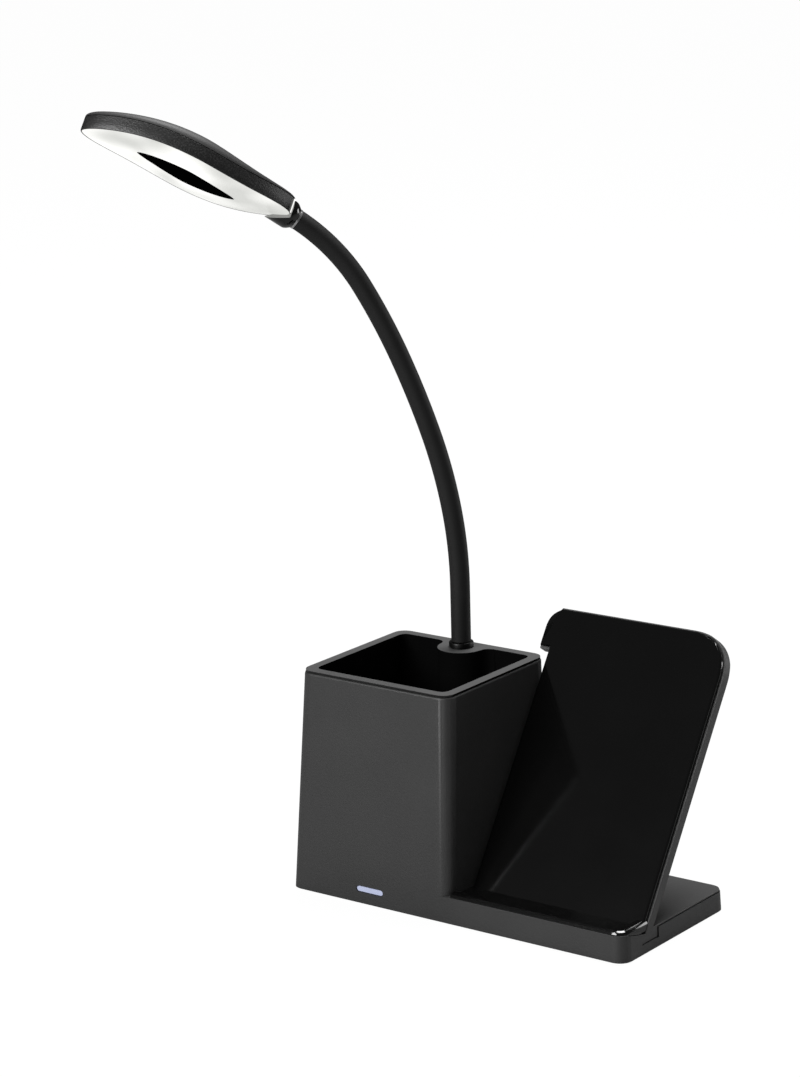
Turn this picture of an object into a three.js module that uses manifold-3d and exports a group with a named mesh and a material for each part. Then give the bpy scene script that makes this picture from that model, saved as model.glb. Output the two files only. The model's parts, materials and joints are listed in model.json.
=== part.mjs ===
// A desk lamp with a pen holder and a leaning charging stand, as separate pieces.
// Millimetres, +Z up. The origin is the middle of the base at desk level: +X runs from the pen
// holder to the stand, +Y runs to the back.
import * as THREE from 'three';
import { mergeVertices } from 'three/addons/utils/BufferGeometryUtils.js';
import Module from 'manifold-3d';

const wasm = await Module();
wasm.setup();
const { degToRad } = THREE.MathUtils;

// Fits shared by every piece
const gap = 0.3; // clearance between two pieces that touch
const overrun = 3; // how far a cutting shape passes the face that it cuts
const leastRadius = 0.4;

// Base and pen holder housing
const baseLength = 156;
const baseDepth = 72;
const cornerRadius = 5;
const housingWall = 2;
const housingEdge = 0.7; // rounding of the pen holder's upper edge
const deskClearance = 0.6;
const frontWallTop = 11;
const sideWallTop = 8;
const wireWayTop = 7;
const leftDraft = 4.1; // degrees off upright, leaning inwards going up
const frontDraft = 1.5;
const backDraft = 2.2;
const rightDraft = 2.2;
// The right wall's top edge, from the front: distance and height
const wallFall = [[4, 11], [5.3, 10.2], [11, 8.8], [15.3, 8]];

// Pen holder and its cup
const holderLength = 76.6;
const holderHeight = 90;
const rimPlate = 0.6;
const rimWidth = 4.3;
const cupWall = 1.6;
const cupCornerRadius = 3;
const cupFloorTop = 16;
const cupFloor = 2.1;

// Boss in the cup that carries the neck
const neckFromLeft = 41.5;
const neckFromFront = 60.8;
const bossRadius = 9.5;
const bossFillet = 4;
const bossToWall = 3.4; // neck's axis to the cup's back wall
const bossHead = 14;
const bossCore = 7.2;

// Leaning stand
const standLean = 33.3; // degrees back from upright
const standFromFront = 16; // frame's front face at deck height
const deckTop = 8.9;
const deckLip = 0.6;
const deckRib = 1.9;
const frameThickness = 5.7;
const frameHeight = 116.5; // along the slope, from the deck
const frameRoot = 1; // how far the frame goes below the deck
const frameRightRadius = 15;
const frameLeftRadius = 8;
const frameSideSetback = 0.6;
const frameBackEdge = 1.6;
const shoulderReach = 4.3; // how far the frame's top reaches behind the pen holder
const shoulderHeight = 99; // along the slope, where that reach starts
const footBottom = 4.4;
const footBack = 23.8;
const footLength = 5;
const pocketMargin = 7;
const pocketBottom = 22;
const pocketTop = 98;
const pocketFloor = 2;

// Glossy cover with the ledge in front of it
const coverFront = 2.2; // in front of the frame's front face
const coverEdge = 0.7;
const coverSetback = 0.8;
const ledgeSetback = 0.4;
const ledgeBottom = 9;
const troughTop = 11;
const lipTop = 12.6;
const lipRound = 1.2;
const lipWidth = 4.2;

// Underside
const padThickness = 1.2;
const padInset = 9;
const padRadius = 4;
const coverPlate = 2;
const screwFromEdge = 5.2;
const standScrewFromBack = 6;
const screwHeadRadius = 2.5;
const screwHeadHeight = 0.9;
const screwRadius = 1.25;
const screwLength = 4.2;
const postRadius = 3.4;
const postTop = 8.4;
const ballast = { length: 54, depth: 38, height: 7, radius: 4, fromLeft: 11, fromFront: 13 };

// Electronics in the base
const mainBoard = { length: 40, depth: 14, thickness: 1.2, fromLeft: 12, fromBack: 4.6, rib: 1.5, ribWidth: 3 };
const inlet = { length: 9, height: 3.3, depth: 7.4, wall: 0.5, mouth: 5.4, fromBack: 1.1, fromLeft: 24 };
const indicator = { length: 12.3, height: 2, fromLeft: 39, middle: 6.3, recess: 0.3, flange: 0.8, margin: 1.2 };
const indicatorBoard = { length: 18, height: 5.6, thickness: 1, lampLength: 3, lampHeight: 1.6, lampDepth: 1.6 };

// Charger in the stand
const coil = { pocketShare: 0.775, innerShare: 0.4, thickness: 1 };
const ferriteSheet = { margin: 2, thickness: 0.8 };
const chargerBoard = { fromPocketEnds: 5, thickness: 1 };

// Bending neck: six stretches, each a steady curve, with a joint between each two
const neckPlane = 45; // degrees from straight left towards the front
const stretchLengths = [24, 32, 32, 32, 32, 37.1];
const stretchTurns = [0, 9.6, 8.3, 4.8, 6.8, 25.5]; // degrees that each stretch turns
const sleeveRadius = 3.9;
const sleeveBore = 3;
const coreRadius = 2.6;
const pinLength = 1.8;
const ferruleRadius = 4.3;
const ferruleLength = 21.8; // part of it in the boss, below the cup's rim
const ferruleFlange = { radius: 4.9, height: 2 };
const coreDepth = 18; // below the cup's rim
const nut = { radius: 6.6, height: 4 };
const collarRing = { radius: 4.05, length: 0.5 };

// Head
const headLength = 85.4;
const headWidth = 44.2;
const headCurveShare = 1.71; // exponent of the outline, 2 is an ellipse
const headTilt = 24.6; // degrees that the head rises to its tip
const headRoll = 22.5; // degrees that its face turns to the front
const headAhead = 2.2; // neck's end to the head's end
const headLift = 0.65; // neck's end to the plane of the lit face
const bendWave = 1.5; // the head's side profile is a shallow S
const bendBow = 0.16;
const bandHeight = 5.6;
const bandWall = 1.2;
const bandEdge = 0.4;
const webBottom = 3.9;
const webThickness = 1.2;
const domeRise = 4.2;
const domeShoulder = 5; // how far the rounded shoulder reaches in
const domeShell = 1.6;
const domeNeckShare = 0.35; // how much of the rise is left at the neck end
const diffuserThickness = 1.6;
const diffuserBulge = 1.4;
const diffuserEdge = 0.1;
const eye = { length: 40.6, width: 15.4, curveShare: 1.45, middle: 42.5, recess: 0.25 };
const ledBoard = { inset: 5, thickness: 1, chipLength: 2.8, chipWidth: 1.8, chipHeight: 0.6, chips: 14, ring: 8 };
const driverBoard = { length: 26, width: 14, thickness: 1 };
const touchRadius = 4;
const headPost = { radius: 2.6, spacing: 46 };
const headScrew = { headRadius: 1.7, headHeight: 0.7, radius: 0.9, length: 2.4 };
// The boot on the neck's end, a round tube cut level below the head's end and upright at it
const bootNeckRadius = 4.05;
const bootRadius = 5.65;
const bootRounding = 2.9; // length over which it widens
const bootLength = 12;
const bootReach = 0.4; // how far its upright cut passes the head's end
const bootSeat = 0.4; // level cut below the head's end
const bootTongue = { width: 5, length: 3 };

// Facets: sides of round pieces
const cornerSteps = 4;
const roundSides = 20;
const bootSides = 32;
const smallSides = 12;
const sleeveSteps = 6;
const coreSteps = 4;
const headSteps = 44;
const spineShare = 0.03; // width of the middle strip of a piece made of rings

// Places worked out from the sizes above
const leftX = -baseLength / 2;
const rightX = baseLength / 2;
const frontY = -baseDepth / 2;
const backY = baseDepth / 2;
const holderRightX = leftX + holderLength;
const rimUnderZ = holderHeight - rimPlate;
const housingTopZ = rimUnderZ - gap;
const plateZ = padThickness + gap;
const plateTopZ = plateZ + coverPlate;
const floorZ = plateTopZ + gap;
const neckX = leftX + neckFromLeft;
const neckY = frontY + neckFromFront;
const cupInset = rimWidth - cupWall;
const standLeftX = holderRightX + gap;
const frameRightX = rightX - frameSideSetback;
const slopeRun = Math.tan(degToRad(standLean));
const slopeDepth = 1 / Math.cos(degToRad(standLean));

const leftAt = (z) => leftX + Math.tan(degToRad(leftDraft)) * z;
const rightAt = (z) => rightX - Math.tan(degToRad(rightDraft)) * z;
const frontAt = (z) => frontY + Math.tan(degToRad(frontDraft)) * z;
const backAt = (z) => backY - Math.tan(degToRad(backDraft)) * z;
// Where a plane this far out of the frame's front face crosses a height
const standYAt = (z, out = 0) => frontY + standFromFront + (z - deckTop) * slopeRun - out * slopeDepth;

// Solids and meshes

function solid(geometry) {
  const bare = geometry.clone();
  bare.deleteAttribute('normal');
  bare.deleteAttribute('uv');
  const merged = mergeVertices(bare);
  const vertProperties = Float32Array.from(merged.attributes.position.array);
  const triVerts = Uint32Array.from(merged.index.array);
  return new wasm.Manifold(new wasm.Mesh({ numProp: 3, vertProperties, triVerts }));
}

function joined(...solids) {
  return solids.reduce((sum, next) => sum.add(next));
}

function geometryOf(shape) {
  const { vertProperties, triVerts } = shape.getMesh();
  const geometry = new THREE.BufferGeometry();
  geometry.setAttribute('position', new THREE.BufferAttribute(vertProperties, 3));
  geometry.setIndex(new THREE.BufferAttribute(triVerts, 1));
  geometry.computeVertexNormals();
  return geometry;
}

// Skin over convex rings of equal length, each anticlockwise from above. Each end is closed with a
// strip from side to side; a closed loft joins its last ring to its first instead, as a hollow band.
function loft(rings, closed = false) {
  const count = rings[0].length;
  const index = [];
  const spans = closed ? rings.length : rings.length - 1;
  for (let level = 0; level < spans; level += 1) {
    const lower = level * count;
    const upper = ((level + 1) % rings.length) * count;
    for (let i = 0; i < count; i += 1) {
      const next = (i + 1) % count;
      index.push(lower + i, lower + next, upper + next);
      index.push(lower + i, upper + next, upper + i);
    }
  }
  const last = (rings.length - 1) * count;
  for (let i = 0; !closed && i < count / 2 - 1; i += 1) {
    const far = count - 1 - i;
    index.push(far, far - 1, i, i, far - 1, i + 1);
    index.push(last + i, last + i + 1, last + far, last + i + 1, last + far - 1, last + far);
  }
  const positions = rings.flat().flatMap((point) => point.toArray());
  const geometry = new THREE.BufferGeometry();
  geometry.setAttribute('position', new THREE.Float32BufferAttribute(positions, 3));
  geometry.setIndex(index);
  return geometry;
}

// A level ring with rounded corners: front left, front right, back right, back left
function ring(left, right, front, back, radii, z) {
  const [fl, fr, br, bl] = Array.isArray(radii) ? radii : [radii, radii, radii, radii];
  const corners = [
    [left + fl, front + fl, fl],
    [right - fr, front + fr, fr],
    [right - br, back - br, br],
    [left + bl, back - bl, bl],
  ];
  return corners.flatMap(([x, y, radius], corner) => {
    const arc = [];
    for (let step = 0; step <= cornerSteps; step += 1) {
      const angle = Math.PI + (corner + step / cornerSteps) * Math.PI / 2;
      arc.push(new THREE.Vector3(x + radius * Math.cos(angle), y + radius * Math.sin(angle), z));
    }
    return arc;
  });
}

function block(ringAt, bottom, top) {
  return solid(loft([ringAt(bottom), ringAt(top)]));
}

function box(x0, x1, y0, y1, z0, z1) {
  const geometry = new THREE.BoxGeometry(x1 - x0, y1 - y0, z1 - z0);
  geometry.translate((x0 + x1) / 2, (y0 + y1) / 2, (z0 + z1) / 2);
  return solid(geometry);
}

function post(x, y, radius, z0, z1, sides = smallSides) {
  const geometry = new THREE.CylinderGeometry(radius, radius, z1 - z0, sides);
  geometry.rotateX(Math.PI / 2);
  geometry.translate(x, y, (z0 + z1) / 2);
  return solid(geometry);
}

function washer(x, y, radius, bore, z0, z1, sides = roundSides) {
  const outer = post(x, y, radius, z0, z1, sides);
  return outer.subtract(post(x, y, bore, z0 - overrun, z1 + overrun, sides));
}

// A profile of [y, z] points pushed along X
function bar(profile, x0, x1) {
  const shape = new THREE.Shape(profile.map(([y, z]) => new THREE.Vector2(y, z)));
  const geometry = new THREE.ExtrudeGeometry(shape, { depth: x1 - x0, bevelEnabled: false });
  const axes = [new THREE.Vector3(0, 1, 0), new THREE.Vector3(0, 0, 1), new THREE.Vector3(1, 0, 0)];
  geometry.applyMatrix4(new THREE.Matrix4().makeBasis(...axes));
  geometry.translate(x0, 0, 0);
  return solid(geometry);
}

// A slot with round ends, pushed along Y
function slot(length, height, x, z, y0, y1) {
  const half = height / 2;
  const reach = (length - height) / 2;
  const shape = new THREE.Shape();
  shape.absarc(reach, 0, half, -Math.PI / 2, Math.PI / 2);
  shape.absarc(-reach, 0, half, Math.PI / 2, Math.PI * 1.5);
  const settings = { depth: y1 - y0, bevelEnabled: false, curveSegments: smallSides / 2 };
  const geometry = new THREE.ExtrudeGeometry(shape, settings);
  geometry.rotateX(Math.PI / 2);
  geometry.translate(x, y1, z);
  return solid(geometry);
}

const parts = new THREE.Group();

function addPiece(name, shape, finish, matrix = new THREE.Matrix4()) {
  const geometry = geometryOf(shape);
  geometry.applyMatrix4(matrix);
  const mesh = new THREE.Mesh(geometry, finish);
  mesh.name = name;
  parts.add(mesh);
}

function finishOf(color, roughness, metalness = 0) {
  return new THREE.MeshStandardMaterial({ color, roughness, metalness });
}

const matteShell = finishOf(0x3a3a3b, 0.55);
const frameShell = finishOf(0x444445, 0.6);
const gloss = finishOf(0x0a0a0b, 0.12);
const underside = finishOf(0x1c1c1d, 0.7);
const rubber = finishOf(0x1d1d1c, 0.8);
const satin = finishOf(0x262627, 0.4);
const domeShellFinish = finishOf(0x565657, 0.45);
const steel = finishOf(0x8d9094, 0.35, 1);
const board = finishOf(0x1f4a2c, 0.5);
const whiteBoard = finishOf(0xe8e6de, 0.45);
const copper = finishOf(0xb5652f, 0.4, 1);
const ferrite = finishOf(0x2b2a29, 0.8);
const frosted = finishOf(0xf4f3ee, 0.3);
const tinted = finishOf(0xb8b6e2, 0.3);

// Base housing

const shrunk = (inset) => Math.max(cornerRadius - inset, leastRadius);

function holderRing(z, inset, radius = shrunk(inset)) {
  return ring(leftAt(z) + inset, holderRightX - inset, frontAt(z) + inset, backAt(z) - inset, radius, z);
}

function baseRing(z, inset) {
  return ring(leftAt(z) + inset, rightAt(z) - inset, frontAt(z) + inset, backAt(z) - inset, shrunk(inset), z);
}

function standRoomRing(z, inset) {
  const wall = housingWall + inset;
  const radii = [leastRadius, shrunk(wall), shrunk(wall), leastRadius];
  return ring(holderRightX + inset, rightAt(z) - wall, frontAt(z) + wall, backAt(z) - wall, radii, z);
}

// Everything above the base walls' top edge, beside the pen holder
function aboveWalls(lift) {
  const falling = wallFall.map(([fromFront, height]) => [frontY + fromFront, height + lift]);
  const roof = frontWallTop + overrun * 2;
  const profile = [
    [frontY - overrun, roof],
    [frontY - overrun, frontWallTop + lift],
    ...falling,
    [backY + overrun, sideWallTop + lift],
    [backY + overrun, roof],
  ];
  return bar(profile, holderRightX, rightX + overrun);
}

// The base walls beside the pen holder, grown by a clearance
function wallSpace(clearance) {
  const outer = block((z) => baseRing(z, -clearance), -overrun, frontWallTop + clearance);
  const inner = block((z) => standRoomRing(z, clearance), -overrun * 2, frontWallTop + overrun);
  return outer.subtract(inner).subtract(aboveWalls(clearance));
}

const screwPlaces = [
  [leftX + screwFromEdge, frontY + screwFromEdge],
  [leftX + screwFromEdge, backY - screwFromEdge],
  [holderRightX - screwFromEdge, frontY + screwFromEdge],
  [rightX - screwFromEdge, frontY + screwFromEdge],
];
const standScrewPlaces = [
  [standLeftX + housingWall + postRadius, backY - standScrewFromBack],
  [rightX - screwFromEdge - housingWall, backY - standScrewFromBack],
];
const screwTopZ = plateZ + screwHeadHeight + screwLength;

function screwBores(places) {
  const bores = places.map(([x, y]) => post(x, y, screwRadius + gap, plateZ, screwTopZ + gap));
  return joined(...bores);
}

function inletSpace(clearance) {
  const z = inletBottomZ + inlet.height / 2;
  const y1 = backY + overrun;
  return slot(inlet.length + clearance * 2, inlet.height + clearance * 2, inletX, z, backY - inlet.depth, y1);
}

const boardZ = plateTopZ + mainBoard.rib + gap;
const inletBottomZ = boardZ + mainBoard.thickness + gap;
const inletX = leftX + inlet.fromLeft;
const windowX = leftX + indicator.fromLeft;

function buildHousing() {
  const holderRings = [
    holderRing(deskClearance, 0),
    holderRing(housingTopZ - housingEdge, 0),
    holderRing(housingTopZ - housingEdge / 3, housingEdge / 3),
    holderRing(housingTopZ, housingEdge),
  ];
  const outer = joined(
    solid(loft(holderRings)),
    block((z) => baseRing(z, 0), deskClearance, frontWallTop),
  );
  const holderRoom = block((z) => holderRing(z, housingWall), -overrun, housingTopZ + overrun);
  const standRoom = block((z) => standRoomRing(z, 0), -overrun, frontWallTop + overrun);
  const wireWay = box(holderRightX - housingWall - overrun, holderRightX + overrun,
    frontY + housingWall + gap, backY - housingWall - gap, -overrun, wireWayTop);
  const postsHere = joined(...screwPlaces.map(([x, y]) => post(x, y, postRadius, floorZ, postTop)));
  const room = joined(holderRoom, standRoom, wireWay).subtract(postsHere);
  const window = slot(indicator.length + gap * 2, indicator.height + gap * 2, windowX, indicator.middle,
    frontY - overrun, frontY + housingWall + overrun);
  const notchProfile = [
    [standYAt(footBottom - gap, gap), footBottom - gap],
    [frontY + footBack + gap, footBottom - gap],
    [frontY + footBack + gap, deckTop + overrun],
    [standYAt(deckTop + overrun, gap), deckTop + overrun],
  ];
  const notch = bar(notchProfile, frameRightX - footLength - gap, rightX + overrun);
  return outer
    .subtract(room)
    .subtract(aboveWalls(0))
    .subtract(screwBores(screwPlaces))
    .subtract(window)
    .subtract(inletSpace(gap))
    .subtract(notch);
}

// Pen holder cup: a flange that hangs on the housing, with the neck's boss in its back wall

function bossShape() {
  const side = bossRadius + bossFillet;
  const drop = bossToWall - bossFillet;
  const reach = Math.sqrt(side ** 2 - drop ** 2);
  const swing = Math.atan2(-drop, reach);
  const shape = new THREE.Shape();
  shape.moveTo(reach, bossToWall);
  shape.lineTo(reach, baseDepth / 4);
  shape.lineTo(-reach, baseDepth / 4);
  shape.absarc(-reach, drop, bossFillet, Math.PI / 2, swing, true);
  shape.absarc(0, 0, bossRadius, Math.PI + swing, Math.PI * 2 - swing);
  shape.absarc(reach, drop, bossFillet, Math.PI - swing, Math.PI / 2, true);
  return shape;
}

function buildCup() {
  const flange = block((z) => holderRing(z, gap), rimUnderZ, holderHeight);
  const outer = block((z) => holderRing(z, cupInset, cupCornerRadius + cupWall), cupFloorTop - cupFloor,
    holderHeight - rimPlate / 2);
  const settings = { depth: holderHeight, bevelEnabled: false, curveSegments: smallSides / 2 };
  const bossBlock = new THREE.ExtrudeGeometry(bossShape(), settings);
  bossBlock.translate(neckX, neckY, cupFloorTop - overrun);
  const pocket = block((z) => holderRing(z, rimWidth, cupCornerRadius), cupFloorTop, holderHeight + overrun);
  const coreTop = holderHeight - bossHead;
  const core = joined(
    post(neckX, neckY, bossCore, -overrun, coreTop, roundSides),
    box(neckX - bossCore, neckX + bossCore, neckY, backY, -overrun, coreTop),
  );
  return joined(outer, flange)
    .subtract(pocket.subtract(solid(bossBlock)))
    .subtract(core)
    .subtract(post(neckX, neckY, ferruleRadius + gap, coreTop - overrun, holderHeight + overrun, roundSides));
}

// Stand frame, built lying down: X along the base, Y up the slope, Z out of its front face
const standMatrix = new THREE.Matrix4()
  .makeRotationX(degToRad(90 - standLean))
  .setPosition(0, frontY + standFromFront, deckTop);

function leaning(rings) {
  const geometry = loft(rings);
  geometry.applyMatrix4(standMatrix);
  return solid(geometry);
}

// The panel's outline as two rounded shapes: the part beside the holder and the wider top.
// Each level is how far the outline is set in, and how far out of the frame's front face.
function panel(setback, bottom, levels) {
  const rightRadius = frameRightRadius - setback;
  const leftRadius = frameLeftRadius - setback;
  const top = frameHeight - setback;
  const shoulderX = holderRightX - shoulderReach + setback;
  const main = levels.map(([inset, out]) => {
    const radii = [leastRadius, leastRadius, rightRadius - inset, leastRadius];
    return ring(standLeftX + setback + inset, frameRightX - setback - inset, bottom, top - inset, radii, out);
  });
  const shoulder = levels.map(([inset, out]) => {
    const radii = [leastRadius, leastRadius, leastRadius, leftRadius - inset];
    const right = standLeftX + frameRightRadius * 2;
    return ring(shoulderX + inset, right, shoulderHeight + setback + inset, top - inset, radii, out);
  });
  return joined(leaning(main), leaning(shoulder));
}

function buildStandFrame() {
  const backLevels = [
    [frameBackEdge, -frameThickness],
    [frameBackEdge / 2, frameBackEdge / 4 - frameThickness],
    [0, frameBackEdge - frameThickness],
    [0, 0],
  ];
  const pocket = leaning([-(frameThickness - pocketFloor), overrun].map((out) => (
    ring(standLeftX + pocketMargin, frameRightX - pocketMargin, pocketBottom, pocketTop, cornerRadius, out)
  )));
  const deckFrontY = standYAt(deckTop - deckLip - deckRib) + frameThickness / 2;
  const lip = box(standLeftX, frameRightX, deckFrontY, backAt(deckTop) - gap, deckTop - deckLip, deckTop)
    .intersect(block((z) => baseRing(z, gap), -overrun, deckTop + overrun));
  const ribRing = (z) => standRoomRing(z, gap);
  const rib = block(ribRing, deckTop - deckLip - deckRib, deckTop - deckLip / 2)
    .intersect(box(standLeftX, rightX, deckFrontY, backY, 0, deckTop));
  const legs = joined(...standScrewPlaces.map(([x, y]) => post(x, y, postRadius, floorZ, deckTop - deckLip / 2)));
  const footProfile = [
    [standYAt(footBottom), footBottom],
    [frontY + footBack, footBottom],
    [frontY + footBack, deckTop],
    [standYAt(deckTop), deckTop],
  ];
  const foot = bar(footProfile, frameRightX - footLength, frameRightX)
    .intersect(block((z) => baseRing(z, gap), -overrun, deckTop + overrun));
  return panel(0, -frameRoot, backLevels)
    .subtract(pocket)
    .add(joined(lip, rib, legs, foot))
    .subtract(screwBores(standScrewPlaces));
}

// Glossy cover: the panel in front of the frame and the ledge at its foot, in one piece

function buildStandCover() {
  const frontLevels = [
    [0, gap],
    [0, coverFront - coverEdge],
    [coverEdge / 3, coverFront - coverEdge / 3],
    [coverEdge, coverFront],
  ];
  const ledgeRing = (z, inset) => {
    const side = ledgeSetback + inset;
    const radii = [leastRadius, shrunk(side), leastRadius, leastRadius];
    return ring(standLeftX, rightAt(z) - side, frontAt(z) + side, standYAt(lipTop), radii, z);
  };
  const ledgeLevels = [[ledgeBottom, 0], [lipTop - lipRound, 0], [lipTop - lipRound / 3, lipRound / 3], [lipTop, lipRound]];
  const ledge = solid(loft(ledgeLevels.map(([z, inset]) => ledgeRing(z, inset))));
  const troughRing = (z) => {
    const side = ledgeSetback + lipWidth - (z - troughTop) / 2;
    const radii = [leastRadius, shrunk(housingWall), leastRadius, leastRadius];
    return ring(standLeftX - overrun, rightAt(z) - side, frontAt(z) + side, backY, radii, z);
  };
  const trough = block(troughRing, troughTop, lipTop + overrun);
  const behind = leaning([-baseDepth / 2, gap].map((out) => (
    ring(leftX, rightX + overrun, -baseDepth, frameHeight + overrun, leastRadius, out)
  )));
  const ledgeCut = ledge.subtract(trough).subtract(behind);
  return joined(panel(coverSetback, 0, frontLevels), ledgeCut).subtract(wallSpace(gap));
}

// Underside, ballast and electronics

function buildBottomCover() {
  const plate = block((z) => baseRing(z, housingWall + gap), plateZ, plateTopZ);
  const ribX = leftX + mainBoard.fromLeft;
  const ribY = backY - mainBoard.fromBack - mainBoard.depth;
  const ribs = [ribX, ribX + mainBoard.length - mainBoard.ribWidth].map((x) => (
    box(x, x + mainBoard.ribWidth, ribY, ribY + mainBoard.depth, plateTopZ - gap, plateTopZ + mainBoard.rib)
  ));
  const every = [...screwPlaces, ...standScrewPlaces];
  const heads = every.map(([x, y]) => (
    post(x, y, screwHeadRadius + gap, plateZ - overrun, plateZ + screwHeadHeight + gap)
  ));
  const bores = every.map(([x, y]) => post(x, y, screwRadius + gap, plateZ, plateTopZ + overrun));
  return joined(plate, ...ribs).subtract(joined(...heads, ...bores));
}

function buildScrew([x, y]) {
  return joined(
    post(x, y, screwHeadRadius, plateZ, plateZ + screwHeadHeight),
    post(x, y, screwRadius, plateZ + screwHeadHeight / 2, screwTopZ),
  );
}

function buildPad() {
  const padRing = (z) => ring(leftX + padInset, rightX - padInset, frontY + padInset, backY - padInset, padRadius, z);
  return block(padRing, 0, padThickness);
}

function buildBallast() {
  const x = leftX + ballast.fromLeft;
  const y = frontY + ballast.fromFront;
  const ballastRing = (z) => ring(x, x + ballast.length, y, y + ballast.depth, ballast.radius, z);
  return block(ballastRing, floorZ, floorZ + ballast.height);
}

function buildMainBoard() {
  const x = leftX + mainBoard.fromLeft;
  const y = backY - mainBoard.fromBack - mainBoard.depth;
  return box(x, x + mainBoard.length, y, y + mainBoard.depth, boardZ, boardZ + mainBoard.thickness);
}

function buildInlet() {
  const z = inletBottomZ + inlet.height / 2;
  const y = backY - inlet.fromBack;
  const shell = slot(inlet.length, inlet.height, inletX, z, y - inlet.depth, y);
  const { wall, mouth } = inlet;
  const hollow = slot(inlet.length - wall * 2, inlet.height - wall * 2, inletX, z, y - mouth, y + overrun);
  return shell.subtract(hollow);
}

const flangeY = frontY + housingWall + gap * 2;

function buildIndicatorWindow() {
  const { length, height, middle, recess, flange, margin } = indicator;
  return joined(
    slot(length, height, windowX, middle, frontAt(middle) + recess, flangeY + flange / 2),
    slot(length + margin * 2, height + margin * 2, windowX, middle, flangeY, flangeY + flange),
  );
}

function buildIndicatorLed() {
  const { length, height, thickness, lampLength, lampHeight, lampDepth } = indicatorBoard;
  const lampY = flangeY + indicator.flange + gap;
  const boardY = lampY + lampDepth;
  const lampZ = indicator.middle;
  return joined(
    box(windowX - length / 2, windowX + length / 2, boardY, boardY + thickness, floorZ, floorZ + height),
    box(windowX - lampLength / 2, windowX + lampLength / 2, lampY, boardY + thickness / 2,
      lampZ - lampHeight / 2, lampZ + lampHeight / 2),
  );
}

const panelMiddleX = (standLeftX + frameRightX) / 2;

const pocketHalfWidth = (frameRightX - standLeftX) / 2 - pocketMargin;
const pocketHalfHeight = (pocketTop - pocketBottom) / 2;
const chargerMiddle = pocketBottom + pocketHalfHeight;
const coilRadius = Math.min(pocketHalfWidth, pocketHalfHeight) * coil.pocketShare;

function chargerLayer(halfWidth, halfHeight, top, thickness) {
  const left = panelMiddleX - halfWidth;
  const right = panelMiddleX + halfWidth;
  return leaning([top - thickness, top].map((out) => (
    ring(left, right, chargerMiddle - halfHeight, chargerMiddle + halfHeight, leastRadius, out)
  )));
}

function buildCoil() {
  const inner = coilRadius * coil.innerShare;
  return washer(panelMiddleX, chargerMiddle, coilRadius, inner, -coil.thickness, 0, roundSides * 2);
}

// Neck

const outward = new THREE.Vector3(-Math.cos(degToRad(neckPlane)), -Math.sin(degToRad(neckPlane)), 0);
const sideways = new THREE.Vector3(-outward.y, outward.x, 0);
const neckLength = stretchLengths.reduce((sum, length) => sum + length, 0);

function routeAt(along) {
  let rest = along;
  let out = 0;
  let z = holderHeight;
  let angle = 0;
  stretchLengths.forEach((length, i) => {
    const walked = i === 0 ? Math.min(rest, length) : Math.max(Math.min(rest, length), 0);
    const turn = degToRad(stretchTurns[i]) / length;
    const end = angle + turn * walked;
    const middle = (angle + end) / 2;
    const half = turn * walked / 2;
    const chord = half === 0 ? walked : walked * Math.sin(half) / half;
    out += chord * Math.sin(middle);
    z += chord * Math.cos(middle);
    angle = end;
    rest -= walked;
  });
  out += rest * Math.sin(angle);
  z += rest * Math.cos(angle);
  return { out, z, angle };
}

function neckPoint(along) {
  const { out, z } = routeAt(along);
  return new THREE.Vector3(neckX + outward.x * out, neckY + outward.y * out, z);
}

// A frame on the neck with its Z along the neck and its X across the neck's plane
function neckMatrix(along) {
  const { angle } = routeAt(along);
  const tangent = outward.clone().multiplyScalar(Math.sin(angle));
  tangent.z = Math.cos(angle);
  const third = tangent.clone().cross(sideways);
  return new THREE.Matrix4().makeBasis(sideways, third, tangent).setPosition(neckPoint(along));
}

class NeckPath extends THREE.Curve {
  constructor(from, to) {
    super();
    this.from = from;
    this.to = to;
  }

  getPoint(share, target = new THREE.Vector3()) {
    return target.copy(neckPoint(this.from + (this.to - this.from) * share));
  }
}

function tube(from, to, radius, steps, sides) {
  const shape = new THREE.Shape().absarc(0, 0, radius, 0, Math.PI * 2);
  const settings = { extrudePath: new NeckPath(from, to), steps, bevelEnabled: false, curveSegments: sides / 2 };
  return solid(new THREE.ExtrudeGeometry(shape, settings));
}

function ball(along, radius) {
  const geometry = new THREE.SphereGeometry(radius, smallSides, smallSides / 2);
  geometry.rotateX(Math.PI / 2);
  geometry.applyMatrix4(neckMatrix(along));
  return solid(geometry);
}

const jointPlaces = stretchLengths.map((_, i) => (
  stretchLengths.slice(0, i + 1).reduce((sum, length) => sum + length, 0)
));

function buildCoreLink(index) {
  const start = index === 0 ? -coreDepth : jointPlaces[index - 1];
  const isLast = index === jointPlaces.length - 1;
  const end = jointPlaces[index] + (isLast ? pinLength : 0);
  const steps = isLast ? coreSteps * 2 : coreSteps;
  const rod = tube(start - gap / 2, end, coreRadius, steps, smallSides);
  const rounded = index === 0 ? rod : rod.add(ball(start, coreRadius));
  return isLast ? rounded : rounded.subtract(ball(end, coreRadius + gap));
}

const sleeveStart = ferruleFlange.height + gap * 2;
const sleeveEnd = neckLength - collarRing.length - gap * 2;

function buildSleeve(index) {
  const seams = jointPlaces.slice(0, -2).map((place, i) => (place + jointPlaces[i + 1]) / 2);
  const from = index === 0 ? sleeveStart : seams[index - 1] + gap / 2;
  const to = index === seams.length ? sleeveEnd : seams[index] - gap / 2;
  const hollow = tube(from - overrun, to + overrun, sleeveBore, sleeveSteps + 2, smallSides);
  return tube(from, to, sleeveRadius, sleeveSteps, roundSides).subtract(hollow);
}

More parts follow.
